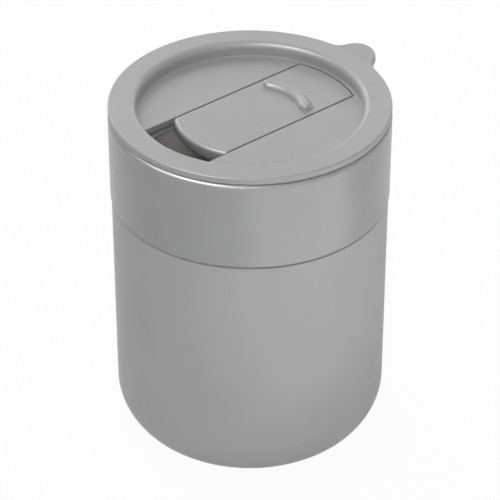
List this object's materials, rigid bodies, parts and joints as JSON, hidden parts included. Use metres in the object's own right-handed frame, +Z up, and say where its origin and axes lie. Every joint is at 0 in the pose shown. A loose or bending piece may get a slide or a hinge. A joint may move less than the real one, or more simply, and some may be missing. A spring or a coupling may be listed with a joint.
{
  "type": "ceramic travel mug",
  "caption": "Glazed ceramic cup in a silicone sleeve, with a press-in lid, a lifting tab and a sliding shutter that opens and closes the drinking mouth.",
  "frame": {"origin": "centre of the sleeve's flat underside, on the mug's axis", "axes": "+Z up along the mug's axis, -Y towards the drinking mouth, +Y towards the lifting tab"},
  "size_m": [0.084, 0.0895, 0.1151],
  "materials": {
    "sleeve_silicone": "matte",
    "glazed_ceramic": "gloss",
    "lid_plastic": "matte",
    "seal_silicone": "matte",
    "shutter_plastic": "matte"
  },
  "bodies": {
    "mug": {"silicone_sleeve": "sleeve_silicone", "ceramic_cup": "glazed_ceramic"},
    "lid": {"lid_body": "lid_plastic", "lid_seal_ring": "seal_silicone"},
    "shutter": {"slide_shutter": "shutter_plastic"}
  },
  "joints": [
    {"name": "lid_lift", "type": "slide", "parent": "mug", "child": "lid", "axis": [0, 0, 1], "range_m": [0, 0.08]},
    {"name": "shutter_slide", "type": "slide", "parent": "lid", "child": "shutter", "axis": [0, -1, 0], "range_m": [0, 0.0095]}
  ]
}
